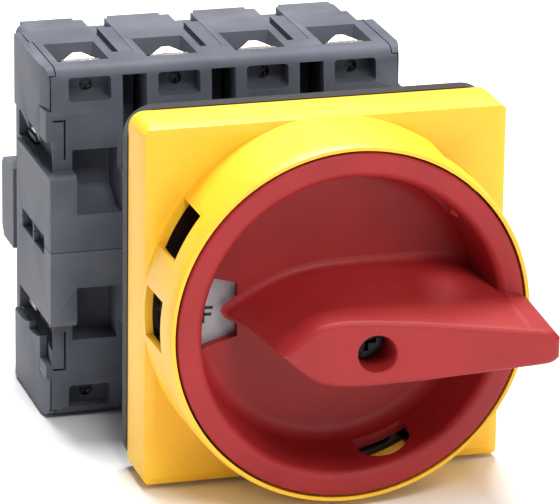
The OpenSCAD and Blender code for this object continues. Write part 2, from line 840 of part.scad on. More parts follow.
// The blade's front outline, scaled in width by w and pulled in at both ends by e
module blade_face(w, e) {
    half = through([[-14.4, 0.05], [-9.5, 4.3], [-6.9, 5.15], [-3, 5.4], [3, 5], [6.8, 4.85],
        [12.6, 4.15], [18, 3.6], [blade_end - 1.2, 2.7], [blade_end - 0.4, 2.4], [blade_end, 1.6]], 4);
    both_sides([for (p = half) [p[0] < 0 ? p[0] * (1 - e / 14.4) : p[0] * (1 - e / blade_end), p[1] * w]]);
}

// The blade's outline where it stands on the dish's floor
module blade_foot() {
    both_sides(through([[-16.9, 0.05], [-12.5, 2.6], [-8.4, 4.5], [-4, 5.6], [-1, 6], [9, 6],
        [18, 5.8], [ring_in - 1.2, 4.8], [ring_in + 0.4, 3.9]], 4));
}

// Tilts a piece so that it climbs along x
module climb() {
    multmatrix([[1, 0, 0, 0], [0, 1, 0, 0], [blade_climb, 0, 1, 0], [0, 0, 0, 1]]) children();
}

// The grip blade tapers from a broad foot to a slim front face with eased edges
module blade() {
    hull() {
        slab(dish_low - 1, dish_low - 0.9) blade_foot();
        slab(ring_top + 2.1, ring_top + 2.2) polygon([
            [ring_in + 0.5, -3.9], [blade_end, -2.8], [blade_end + 0.6, -1.9],
            [blade_end + 0.6, 1.9], [blade_end, 2.8], [ring_in + 0.5, 3.9]
        ]);
        climb() slab(blade_top - 1, blade_top - 0.95) blade_face(1, 0);
        climb() slab(blade_top - 0.5, blade_top - 0.45) blade_face(0.97, 0.13);
        climb() slab(blade_top - 0.15, blade_top - 0.1) blade_face(0.91, 0.4);
        climb() slab(blade_top - 0.05, blade_top) blade_face(0.83, 0.8);
    }
}

// The blade is hollow behind its long end
module blade_hollow() {
    hull() {
        slab(dish_low - dish_wall - 1, dish_low - dish_wall) polygon([[9, -4.2], [18.5, -3.9], [18.5, 3.9], [9, 4.2]]);
        slab(blade_top - 6, blade_top - 3) polygon([[9, -2.6], [21, -1.6], [21, 1.6], [9, 2.6]]);
    }
}

module rotary_handle() {
    color("#b8403f") upright() difference() {
        union() {
            difference() {
                dish();
                for (a = window_deg) rotate([0, 0, a]) padlock_window();
                label_window();
            }
            rod(hub_r, hub_back, dish_low - 1);
            difference() {
                blade();
                tube(plate_w, ring_in + 0.8, 0, ring_top + 0.35);
            }
        }
        blade_hollow();
        rod(screw_well_r, screw_seat, blade_top + 1);
        rod(2.15, socket_top - 1, blade_top + 1);
        block([-shaft_w / 2 - running, -shaft_w / 2 - running, hub_back - 1],
            [shaft_w / 2 + running, shaft_w / 2 + running, socket_top]);
        // Groove for the sealing ring around the hub
        tube(hub_r + 1, hub_r - 1, seal_t + 2, seal_t + 3.6);
    }
}

shaft_front = socket_top - 0.4;

module handle_screw() {
    color("#8c8f94") upright()
        cross_screw(2.7, 2.2, 1.95, shaft_front - 8, screw_seat + 0.7);
}

module spring_washer() {
    color("#8c8f94") upright() tube(2.8, 2, screw_seat, screw_seat + 0.7);
}

module shaft_oring() {
    color("#151413") upright() rotate_extrude()
        translate([hub_r - 0.5, seal_t + 2.8]) circle(0.45, $fn = 24);
}

pinion_front = bearing_front + bearing_t + 0.6;
pinion_back = pinion_front + pinion_t;
shaft_end = pinion_back + 1.1;

module drive_shaft() {
    color("#9a9da2") upright() difference() {
        union() {
            block([-shaft_w / 2, -shaft_w / 2, -pinion_front], [shaft_w / 2, shaft_w / 2, shaft_front]);
            // The tail is thin enough to pass inside the roots of the pinion's teeth
            block([-tail_w / 2, -tail_w / 2, -pinion_back], [tail_w / 2, tail_w / 2, 0.1 - pinion_front]);
            rod(tail_w / 2, -shaft_end, 0.1 - pinion_back);
        }
        rod(2, shaft_front - 9, shaft_front + 1);
        tube(tail_w, tail_w / 2 - 0.6, -shaft_end + 0.3, -shaft_end + 0.9);
    }
}

// A clip in the groove behind the pinion
module retaining_ring() {
    color("#77797d") upright() rotate([0, 0, 30])
        rotate_extrude(angle = 300) translate([tail_w / 2 - 0.6 + running, -shaft_end + 0.35])
            square([1.6, 0.5]);
}

// Straight-flanked teeth, slim enough to run in the rack with play
tooth_add = 0.85 * tooth_module;
tooth_ded = 1.1 * tooth_module;
// Leaves a wall under the teeth at the square bore's corners
tail_w = (pitch_r - tooth_ded - 0.45) * sqrt(2);

module pinion_outline() {
    root = pitch_r - tooth_ded;
    circle(root);
    for (i = [0:pinion_teeth - 1])
        rotate([0, 0, 360 * i / pinion_teeth + 90])
            polygon([
                [root - 0.3, -0.86 * tooth_module], [root, -0.86 * tooth_module], [pitch_r, -0.62 * tooth_module],
                [pitch_r + tooth_add * 0.6, -0.36 * tooth_module], [pitch_r + tooth_add, -0.2 * tooth_module],
                [pitch_r + tooth_add, 0.2 * tooth_module], [pitch_r + tooth_add * 0.6, 0.36 * tooth_module],
                [pitch_r, 0.62 * tooth_module], [root, 0.86 * tooth_module], [root - 0.3, 0.86 * tooth_module]
            ]);
}

module drive_pinion() {
    color("#d9d4c6") upright() difference() {
        union() {
            slab(-pinion_back, -pinion_front) pinion_outline();
            rod(bearing_r, -pinion_front - 0.1, -bearing_front - 0.3);
        }
        block([-shaft_w / 2 - running / 2, -shaft_w / 2 - running / 2, -pinion_front],
            [shaft_w / 2 + running / 2, shaft_w / 2 + running / 2, 0]);
        block([-tail_w / 2 - running / 2, -tail_w / 2 - running / 2, -pinion_back - 1],
            [tail_w / 2 + running / 2, tail_w / 2 + running / 2, 0]);
    }
}

// ---------------------------------------------------------------- carriage

rack_y0 = pitch_r - tooth_add * 0.75;
rack_root = rack_y0 + tooth_add * 1.85;
rack_front = pinion_front + 0.3;
rack_back = pinion_back - 0.2;
carriage_front = bridge_back + 1;
carriage_left = pole_x[0] + off_x - 1.9;
carriage_right = pole_x[poles - 1] + off_x + 1.9;

module contact_carriage() {
    color("#8f2f27") upright() difference() {
        union() {
            block([carriage_left, -carriage_half, -carriage_back], [carriage_right, carriage_half, -carriage_front]);
            // The rack stands in front of the bridges, above the pinion
            block([rack_left, rack_root, -rack_back], [rack_right, carriage_half, -rack_front]);
            for (i = [-4:1])
                translate([(i + 0.5) * tooth_pitch, 0, 0])
                    slab(-rack_back, -rack_front) polygon([
                        [-0.85 * tooth_module, rack_root + 0.1], [-0.3 * tooth_module, rack_y0],
                        [0.3 * tooth_module, rack_y0], [0.85 * tooth_module, rack_root + 0.1]
                    ]);
            // Two posts carry it, one on each side of the bridge behind it
            block([rack_left, rack_root, -carriage_front - 0.1],
                [off_x - contact_w / 2 - 0.4, carriage_half, 0.1 - rack_back]);
            block([off_x + contact_w / 2 + 0.4, rack_root, -carriage_front - 0.1],
                [rack_right, carriage_half, 0.1 - rack_back]);
        }
        // Wells for the contact springs
        for (x = pole_x, s = [-1, 1])
            translate([x + off_x, s * spring_y, 0]) rod(1.5, -carriage_back + 1, 1 - carriage_front);
    }
}

spring_y = 5.4;

module bridge_contacts() {
    color("#c08a55") upright()
        for (x = pole_x)
            translate([x + off_x, 0, 0]) {
                block([-contact_w / 2, -bar_low - 3, -bridge_back], [contact_w / 2, bar_low + 3, -bridge_front]);
                for (s = [-1, 1])
                    translate([0, s * (bar_low + 1.5), 0]) rod(rivet_r, -bridge_front - 0.1, -bridge_front + 0.01);
            }
}

module spring_caps() {
    color("#d9d4c6") upright()
        for (x = pole_x, s = [-1, 1])
            translate([x + off_x, s * spring_y, 0]) {
                rod(1.35, -bridge_back - 0.6, -bridge_back);
                rod(0.6, -bridge_back - 1.8, -bridge_back - 0.5);
            }
}

// Small pressure springs between the carriage and the bridges, drawn as corrugated sleeves
module contact_springs() {
    coils = 5;
    wire = 0.34;
    coil_r = 1.1;
    start = -carriage_back + 1 + wire / 2;
    pitch = (-bridge_back - 0.6 - wire / 2 - start) / coils;
    centre = [for (k = [0:2 * coils]) [coil_r + (k % 2 == 0 ? 0.17 : -0.17), start + k * pitch / 2]];
    n = 2 * coils;
    color("#b8babd") upright()
        for (x = pole_x, s = [-1, 1])
            translate([x + off_x, s * spring_y, 0]) rotate_extrude($fn = 32) polygon(concat(
                [for (c = centre) [c[0] + wire / 3, c[1]]],
                [for (k = [0:n]) [centre[n - k][0] - wire / 3, centre[n - k][1]]]
            ));
}

// ---------------------------------------------------------------- the object

front_plate();
front_collar();
lock_ring();
legend_plate();
hub_bush();
panel_seal();
mounting_tower();
panel_screws();
tower_screws();
upper_housing();
lower_housing();
left_cover_upper();
left_cover_lower();
right_cover_upper();
right_cover_lower();
rear_base();
base_screws();
bearing_plate();
index_spring();
line_contacts();
load_contacts();
line_clamp_cages();
load_clamp_cages();
line_clamp_plates();
load_clamp_plates();
line_terminal_screws();
load_terminal_screws();
arc_plates();
rotary_handle();
handle_screw();
spring_washer();
drive_shaft();
shaft_oring();
drive_pinion();
retaining_ring();
contact_carriage();
bridge_contacts();
contact_springs();
spring_caps();
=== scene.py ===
"""Looks of the rotary isolator switch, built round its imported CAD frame. Lengths are in metres."""
import json
import math

import bmesh
import bpy
import numpy as np
from mathutils import Matrix, Vector

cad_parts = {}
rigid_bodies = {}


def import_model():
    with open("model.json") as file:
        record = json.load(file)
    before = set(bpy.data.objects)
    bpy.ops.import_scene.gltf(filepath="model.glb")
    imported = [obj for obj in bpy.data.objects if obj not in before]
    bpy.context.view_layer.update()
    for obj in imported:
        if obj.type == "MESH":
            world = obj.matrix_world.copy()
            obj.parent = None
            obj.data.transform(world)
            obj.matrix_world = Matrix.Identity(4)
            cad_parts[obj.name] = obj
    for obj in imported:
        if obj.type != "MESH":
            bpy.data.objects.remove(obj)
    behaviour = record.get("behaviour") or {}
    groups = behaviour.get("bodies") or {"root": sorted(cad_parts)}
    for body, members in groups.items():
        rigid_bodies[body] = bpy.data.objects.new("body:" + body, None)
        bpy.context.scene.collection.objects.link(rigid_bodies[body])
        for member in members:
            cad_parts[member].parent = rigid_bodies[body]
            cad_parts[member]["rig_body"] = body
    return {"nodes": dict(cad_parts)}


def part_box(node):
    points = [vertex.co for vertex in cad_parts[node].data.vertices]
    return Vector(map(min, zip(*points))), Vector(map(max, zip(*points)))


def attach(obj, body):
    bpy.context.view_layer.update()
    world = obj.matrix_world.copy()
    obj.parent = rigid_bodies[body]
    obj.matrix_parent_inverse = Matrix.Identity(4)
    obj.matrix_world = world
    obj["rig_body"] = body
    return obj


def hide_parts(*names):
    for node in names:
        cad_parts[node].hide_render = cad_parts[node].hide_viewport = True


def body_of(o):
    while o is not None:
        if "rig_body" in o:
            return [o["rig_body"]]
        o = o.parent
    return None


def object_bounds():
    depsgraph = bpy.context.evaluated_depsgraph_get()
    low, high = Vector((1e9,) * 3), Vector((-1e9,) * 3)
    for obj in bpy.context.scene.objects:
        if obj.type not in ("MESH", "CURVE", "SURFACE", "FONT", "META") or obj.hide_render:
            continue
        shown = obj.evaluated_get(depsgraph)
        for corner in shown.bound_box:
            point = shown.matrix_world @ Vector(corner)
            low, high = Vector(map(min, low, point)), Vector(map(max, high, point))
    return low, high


MM = 0.001
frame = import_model()
cad_box = [list(v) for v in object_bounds()]
scene = bpy.context.scene


# ---------------------------------------------------------------- colours and node helpers

def linear(hex_code):
    """sRGB hex to linear RGBA: c/12.92 below 0.04045, else ((c + 0.055)/1.055)^2.4."""
    c = np.array([int(hex_code[i:i + 2], 16) / 255 for i in (1, 3, 5)])
    c = np.where(c <= 0.04045, c / 12.92, ((c + 0.055) / 1.055) ** 2.4)
    return (*c.tolist(), 1.0)


def node(tree, kind, settings=None, inputs=None, links=()):
    """Adds a node, sets its properties and sockets, and links sources into its sockets."""
    n = tree.nodes.new(kind)
    for key, value in (settings or {}).items():
        setattr(n, key, value)
    for key, value in (inputs or {}).items():
        n.inputs[key].default_value = value
    for source, target in links:
        tree.links.new(source, n.inputs[target])
    return n


def per_mm(size_mm):
    """Texture scale at which one feature is about size_mm wide in object coordinates."""
    return 1.0 / (size_mm * MM)


def ramp(tree, source, stops):
    """A colour ramp over source with (position, colour) stops."""
    n = node(tree, "ShaderNodeValToRGB", links=[(source, "Fac")])
    n.color_ramp.elements[0].position, n.color_ramp.elements[0].color = stops[0]
    n.color_ramp.elements[1].position, n.color_ramp.elements[1].color = stops[-1]
    for position, colour in stops[1:-1]:
        n.color_ramp.elements.new(position).color = colour
    return n


def spread(tree, source, low, high):
    """Maps a 0..1 source to low..high."""
    return node(tree, "ShaderNodeMapRange", inputs={"To Min": low, "To Max": high}, links=[(source, "Value")])


def start(name):
    m = bpy.data.materials.new(name)
    m.use_nodes = True
    tree = m.node_tree
    return m, tree, tree.nodes["Principled BSDF"], tree.nodes.new("ShaderNodeTexCoord").outputs["Object"]


def plastic(name, dark, light, rough, grain_mm, grain, wave=0.0, sheen=0.0, edge_highlight=None, specular=0.5):
    """Moulded plastic.

    Two noises vary the colour between dark and light: a cloud of 9 mm and the grain itself. The
    grain is a fine eroded surface of grain_mm in the bump; wave adds the slow unevenness of a
    cooled wall. The edge colour, when given, is a painted highlight: a paler colour laid in cloudy
    patches on the sharp convex edges, where light would catch them. specular is low where the
    filler breaks up the skin.
    """
    m, t, bsdf, at = start(name)
    cloud = node(t, "ShaderNodeTexNoise", inputs={"Scale": per_mm(9), "Detail": 3.0}, links=[(at, "Vector")])
    fine = node(t, "ShaderNodeTexNoise", inputs={"Scale": per_mm(grain_mm), "Detail": 4.0, "Roughness": 0.6},
                links=[(at, "Vector")])
    pits = node(t, "ShaderNodeTexVoronoi", inputs={"Scale": per_mm(grain_mm * 1.6)}, links=[(at, "Vector")])
    both = node(t, "ShaderNodeMath", {"operation": "MULTIPLY_ADD"}, {1: 0.35},
                [(fine.outputs["Fac"], 0), (cloud.outputs["Fac"], 2)])
    tint = ramp(t, both.outputs[0], [(0.45, linear(dark)), (0.9, linear(light))])
    colour = tint.outputs["Color"]
    # Painted highlight: sharp convex edges, found by pointiness, are lightened in cloudy patches
    if edge_highlight:
        edge = node(t, "ShaderNodeNewGeometry")
        keen = node(t, "ShaderNodeMapRange", inputs={"From Min": 0.52, "From Max": 0.62, "To Max": 0.5},
                    links=[(edge.outputs["Pointiness"], "Value")])
        highlight_mask = node(t, "ShaderNodeMath", {"operation": "MULTIPLY"},
                     links=[(keen.outputs[0], 0), (cloud.outputs["Fac"], 1)])
        mix = node(t, "ShaderNodeMix", {"data_type": "RGBA"}, {"B": linear(edge_highlight)},
                   [(highlight_mask.outputs[0], "Factor"), (colour, "A")])
        colour = mix.outputs["Result"]
    t.links.new(colour, bsdf.inputs["Base Color"])
    gloss = spread(t, both.outputs[0], rough - 0.06, rough + 0.1)
    t.links.new(gloss.outputs[0], bsdf.inputs["Roughness"])
    relief = node(t, "ShaderNodeMath", {"operation": "MULTIPLY_ADD"}, {1: -0.5},
                  [(pits.outputs["Distance"], 0), (fine.outputs["Fac"], 2)])
    bump = node(t, "ShaderNodeBump", inputs={"Strength": grain, "Distance": grain_mm * MM * 0.5},
                links=[(relief.outputs[0], "Height")])
    if wave:
        slow = node(t, "ShaderNodeBump", inputs={"Strength": wave, "Distance": 0.4 * MM},
                    links=[(cloud.outputs["Fac"], "Height"), (bump.outputs["Normal"], "Normal")])
        bump = slow
    t.links.new(bump.outputs["Normal"], bsdf.inputs["Normal"])
    bsdf.inputs["Sheen Weight"].default_value = sheen
    bsdf.inputs["Specular IOR Level"].default_value = specular
    return m


def metal(name, colour, tarnish, rough, brush_mm, strength=0.15, stretch=(1, 12, 1)):
    """Metal with drawn or stamped marks: noise stretched along one axis drives colour, gloss and bump."""
    m, t, bsdf, at = start(name)
    bsdf.inputs["Metallic"].default_value = 1.0
    place = node(t, "ShaderNodeMapping", inputs={"Scale": stretch}, links=[(at, "Vector")])
    lines = node(t, "ShaderNodeTexNoise", inputs={"Scale": per_mm(brush_mm), "Detail": 3.0},
                 links=[(place.outputs["Vector"], "Vector")])
    stains = node(t, "ShaderNodeTexNoise", inputs={"Scale": per_mm(2.2), "Detail": 5.0, "Roughness": 0.65},
                  links=[(at, "Vector")])
    tint = ramp(t, stains.outputs["Fac"], [(0.42, linear(colour)), (0.72, linear(tarnish))])
    t.links.new(tint.outputs["Color"], bsdf.inputs["Base Color"])
    gloss = spread(t, lines.outputs["Fac"], rough - 0.08, rough + 0.12)
    t.links.new(gloss.outputs[0], bsdf.inputs["Roughness"])
    bump = node(t, "ShaderNodeBump", inputs={"Strength": strength, "Distance": 0.05 * MM},
                links=[(lines.outputs["Fac"], "Height")])
    t.links.new(bump.outputs["Normal"], bsdf.inputs["Normal"])
    return m


# Moulded glass-filled nylon: matt and slightly uneven, with a painted highlight on its edges
GREY = plastic("glass_filled_polyamide", "#4f525b", "#5e616b", 0.5, 0.16, 0.35, 0.12,
               edge_highlight="#7d7f85", specular=0.12)
GREY_COVER = plastic("glass_filled_polyamide_covers", "#4f525b", "#5e616b", 0.48, 0.16, 0.3, 0.12,
                     edge_highlight="#7d7f85", specular=0.12)
# Charcoal nylon, also with a painted highlight on its edges
DARK = plastic("charcoal_polyamide", "#2a2b2e", "#37383c", 0.55, 0.18, 0.35, 0.1, edge_highlight="#5d5e62")
# Moulded ABS with a fine satin grain: bright and even, with a soft sheen along its edges
YELLOW = plastic("yellow_abs", "#f4ba28", "#fac634", 0.36, 0.22, 0.12, 0.1, specular=0.4)
# Red ABS, with a painted highlight on its edges
RED = plastic("red_abs", "#931e20", "#a12527", 0.46, 0.14, 0.3, 0.06, edge_highlight="#a03234", specular=0.35)
BLACK = plastic("black_abs", "#0f0d0d", "#1b1817", 0.3, 0.2, 0.2, 0.08)
# Closed-cell foam rubber: dull, open-pored and a little dusty
RUBBER = plastic("foam_rubber", "#151211", "#241f1c", 0.85, 0.3, 0.8, 0.2, sheen=0.15)
# Printed polyester film, flat and half gloss, and the thin matt ink on it
LABEL = plastic("printed_label_film", "#a9a7ab", "#b7b5b9", 0.42, 0.5, 0.04)
PRINT = plastic("screen_print_ink", "#131314", "#1c1c1e", 0.5, 0.1, 0.2)
# Machined-looking acetal for wheels and caps, and pressed thermoset for the carriage
ACETAL = plastic("white_acetal", "#d8d3c6", "#e9e5da", 0.4, 0.2, 0.12, 0.08)
THERMOSET = plastic("brown_thermoset", "#6c2a24", "#843a31", 0.45, 0.3, 0.3, 0.1)
# Plated steel: bright with long draw marks; the terminal screws get a darker copy, painted shade for their
# deep pockets
ZINC = metal("zinc_plated_steel", "#c9cbd0", "#a9a79a", 0.32, 0.25)
SHADED_ZINC = metal("zinc_steel_painted_shade", "#5d5f63", "#48484a", 0.45, 0.25)
PLATED = metal("nickel_plated_steel", "#efece6", "#d2b9a4", 0.24, 0.3)
WIRE = metal("spring_wire", "#b9bbbf", "#8e8f93", 0.3, 0.08)
# Stamped copper stains brown, and blackened steel keeps only a dark gleam
COPPER = metal("stamped_copper", "#c98456", "#9a5c3c", 0.34, 0.2, 0.25)
BLACKENED = metal("blackened_steel", "#3a3a3d", "#29292a", 0.36, 0.15, 0.3, (1, 1, 1))


# ---------------------------------------------------------------- mesh helpers

def add(name, verts, faces, body, material, smooth=True):
    """A new mesh object that rides on a body. Verts are in metres."""
    me = bpy.data.meshes.new(name)
    me.from_pydata(np.asarray(verts, float).tolist(), [], [tuple(f) for f in faces])
    me.update()
    me.materials.append(material)
    me.polygons.foreach_set("use_smooth", np.full(len(me.polygons), smooth))
    o = bpy.data.objects.new(name, me)
    scene.collection.objects.link(o)
    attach(o, body)
    return o


def united(sources):
    """The meshes of touching CAD nodes as one solid, for a moulding that they share."""
    pieces = []
    for source in sources:
        o = bpy.data.objects.new("united_" + source, frame["nodes"][source].data.copy())
        scene.collection.objects.link(o)
        pieces.append(o)
    for tool in pieces[1:]:
        m = pieces[0].modifiers.new("join", "BOOLEAN")
        m.operation, m.object, m.solver = "UNION", tool, "EXACT"
    view_layer = bpy.context.evaluated_depsgraph_get()
    me = bpy.data.meshes.new_from_object(pieces[0].evaluated_get(view_layer))
    for o in pieces:
        bpy.data.objects.remove(o)
    return me


def eased(sources, name, material, width, segments=3, angle=30):
    """A finished copy of CAD nodes: flat facets merged, sharp edges eased by a bevel of width mm."""
    cad = frame["nodes"][sources[0]]
    me = cad.data.copy() if len(sources) == 1 else united(sources)
    me.name = name
    bm = bmesh.new()
    bm.from_mesh(me)
    bmesh.ops.remove_doubles(bm, verts=bm.verts, dist=1e-6)
    bmesh.ops.join_triangles(bm, faces=bm.faces, angle_face_threshold=math.radians(0.5),
                             angle_shape_threshold=math.radians(60))
    for f in bm.faces:
        f.smooth = True
    for e in bm.edges:
        e.smooth = not (len(e.link_faces) == 2 and e.calc_face_angle(0) > math.radians(angle))
    bm.to_mesh(me)
    bm.free()
    me.materials.clear()
    me.materials.append(material)
    o = bpy.data.objects.new(name, me)
    scene.collection.objects.link(o)
    if width:
        b = o.modifiers.new("edge", "BEVEL")
        b.width = width * MM
        b.segments = segments
        b.limit_method = "ANGLE"
        b.angle_limit = math.radians(angle)
        b.harden_normals = True
        b.miter_outer = "MITER_ARC"
    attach(o, body_of(cad)[0])
    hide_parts(*sources)
    return o


# ---------------------------------------------------------------- the handle

# Levels in mm in front of the panel, and radii round the turning axis
RING_TOP, FLOOR, SKIRT_LOW, HUB_BACK = 26.9, 14.7, 22.3, -1.6
FACE, CLIMB, OVERHANG = 39.9, 0.148, 27.28
WALL, FILLET, FLOOR_R, RING_OUT = 1.7, 2.6, 20.6, 28.3
LIP_R, RIM_R = 1.4, 0.55
HUB_R, SEAL_GROOVE = 7, (4.7, 6.3, 6)
SCREW_SEAT, WELL_R, SHANK_R = 30.8, 2.95, 2.1
WINDOW_DEG, WINDOW_LOW, WINDOW_TOP, WINDOW_HALF, WINDOW_BOW = (49, -71), 17.0, 24.4, 4.4, 3.4
LABEL_HALF_DEG, LABEL_IN, LABEL_OUT = 16, 15.9, 24.8


def ring_arc(cx, cy, r, a0, a1, n):
    """n + 1 points of the arc (cx + r cos a, cy + r sin a)."""
    a = np.radians(np.linspace(a0, a1, n + 1))
    return np.stack([cx + r * np.cos(a), cy + r * np.sin(a)], 1)


def upright(points):
    """Drawn lying down, x right, y up, z towards the hand: (x, y, z) mm becomes (x, -z, y) m."""
    p = np.asarray(points, float)
    return np.stack([p[..., 0], -p[..., 2], p[..., 1]], -1) * MM


def lathe(profile, steps):
    """Turns a closed (r, z) profile: vertex (i, k) = (r_k cos t_i, r_k sin t_i, z_k), t_i = 2 pi i / steps."""
    t = np.linspace(0, 2 * np.pi, steps, endpoint=False)[:, None]
    r, z = profile[:, 0][None], profile[:, 1][None]
    grid = np.stack([r * np.cos(t), r * np.sin(t), z + 0 * t], -1)
    n = len(profile)
    i, k = np.meshgrid(np.arange(steps), np.arange(n - 1), indexing="ij")
    j = (i + 1) % steps
    faces = np.stack([i * n + k, i * n + k + 1, j * n + k + 1, j * n + k], -1).reshape(-1, 4)
    return grid.reshape(-1, 3), faces


def prism(outline, low, high, axes):
    """A closed prism: its outline lies in the first two of the given axes and it runs along the third."""
    n = len(outline)
    pts = np.zeros((2 * n, 3))
    for side, level in enumerate((low, high)):
        pts[side * n:(side + 1) * n, axes[0]] = outline[:, 0]
        pts[side * n:(side + 1) * n, axes[1]] = outline[:, 1]
        pts[side * n:(side + 1) * n, axes[2]] = level
    faces = [tuple(range(n)), tuple(range(2 * n - 1, n - 1, -1))]
    faces += [(k, k + n, (k + 1) % n + n, (k + 1) % n) for k in range(n)]
    return pts, faces


def raw_mesh(name, verts, faces):
    me = bpy.data.meshes.new(name)
    me.from_pydata(np.asarray(verts, float).tolist(), [], [tuple(int(v) for v in f) for f in faces])
    bm = bmesh.new()
    bm.from_mesh(me)
    bmesh.ops.remove_doubles(bm, verts=bm.verts, dist=1e-8)
    bmesh.ops.recalc_face_normals(bm, faces=bm.faces)
    bm.to_mesh(me)
    bm.free()
    return me


def cut(verts, faces, cutters):
    """The solid minus the cutters, as a new mesh."""
    body = bpy.data.objects.new("cut_body", raw_mesh("cut_body", verts, faces))
    scene.collection.objects.link(body)
    tools = []
    for k, (cv, cf) in enumerate(cutters):
        tool = bpy.data.objects.new(f"cutter_{k}", raw_mesh(f"cutter_{k}", cv, cf))
        scene.collection.objects.link(tool)
        m = body.modifiers.new(f"cut_{k}", "BOOLEAN")
        m.operation, m.object, m.solver = "DIFFERENCE", tool, "EXACT"
        tools.append(tool)
    view_layer = bpy.context.evaluated_depsgraph_get()
    me = bpy.data.meshes.new_from_object(body.evaluated_get(view_layer))
    for o in [body, *tools]:
        bpy.data.objects.remove(o)
    return me


def shade(me, angle):
    """Smooth faces, with edges sharper than angle kept sharp."""
    bm = bmesh.new()
    bm.from_mesh(me)
    for f in bm.faces:
        f.smooth = True
    for e in bm.edges:
        e.smooth = not (len(e.link_faces) == 2 and e.calc_face_angle(0) > math.radians(angle))
    bm.to_mesh(me)
    bm.free()


def ease_edges(o, width, segments, angle):
    b = o.modifiers.new("edge", "BEVEL")
    b.width, b.segments, b.limit_method = width * MM, segments, "ANGLE"
    b.angle_limit, b.harden_normals = math.radians(angle), True


def padlock_cutter(deg):
    """A wedge through the wall at deg: a level foot with a bowed top."""
    a = np.radians(np.linspace(20, 160, 17))
    rise = (np.sin(a) - math.sin(a[0])) / (1 - math.sin(a[0]))
    top = np.stack([WINDOW_HALF * np.cos(a) / math.cos(a[0]), WINDOW_TOP - WINDOW_BOW * (1 - rise)], 1)
    foot = [[-WINDOW_HALF, WINDOW_LOW], [WINDOW_HALF, WINDOW_LOW]]
    points, faces = prism(np.concatenate([foot, top]), FLOOR_R + FILLET - 0.8, RING_OUT + 1.7, (1, 2, 0))
    turn = np.array(Matrix.Rotation(math.radians(deg), 3, "Z"))
    return upright(points @ turn.T), faces


def label_cutter():
    """A wedge through the floor and wall that shows the label behind."""
    half = math.radians(LABEL_HALF_DEG)
    corners = ((LABEL_IN, -1), (LABEL_OUT, -1), (LABEL_OUT + 0.6, 0), (LABEL_OUT, 1), (LABEL_IN, 1))
    outline = np.array([[-r * math.cos(half * k), r * math.sin(half * k)] for r, k in corners])
    points, faces = prism(outline, FLOOR - WALL - 2, RING_TOP - 6, (0, 1, 2))
    return upright(points), faces


def dish():
    """The dished body: lip, wall, fillet and floor of one turned profile, with three windows cut out."""
    groove_low, groove_high, groove_r = SEAL_GROOVE
    fillet_z = FLOOR + FILLET
    profile = np.concatenate([
        [[0, FLOOR], [HUB_R, FLOOR], [14, FLOOR]],
        ring_arc(FLOOR_R, fillet_z, FILLET, -90, -5, 10), [[FLOOR_R + FILLET + 0.08, fillet_z + 0.05]],
        ring_arc(RING_OUT - 2.7, RING_TOP - LIP_R, LIP_R, 172, 90, 12),
        ring_arc(RING_OUT - RIM_R, RING_TOP - RIM_R, RIM_R, 90, 0, 6),
        [[RING_OUT, SKIRT_LOW], [RING_OUT - 2.4, SKIRT_LOW]],
        ring_arc(FLOOR_R, fillet_z, FILLET + WALL, 0, -90, 8),
        [[HUB_R, FLOOR - WALL], [HUB_R, groove_high], [groove_r, groove_high],
         [groove_r, groove_low], [HUB_R, groove_low], [HUB_R, HUB_BACK], [0, HUB_BACK]],
    ])
    verts, faces = lathe(profile, 240)
    me = cut(upright(verts), faces, [*(padlock_cutter(deg) for deg in WINDOW_DEG), label_cutter()])
    me.name = "handle_dish"
    shade(me, 28)
    me.materials.clear()
    me.materials.append(RED)
    o = bpy.data.objects.new("handle_dish", me)
    scene.collection.objects.link(o)
    ease_edges(o, 0.22, 3, 40)
    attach(o, "handle")
    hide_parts("rotary_handle")


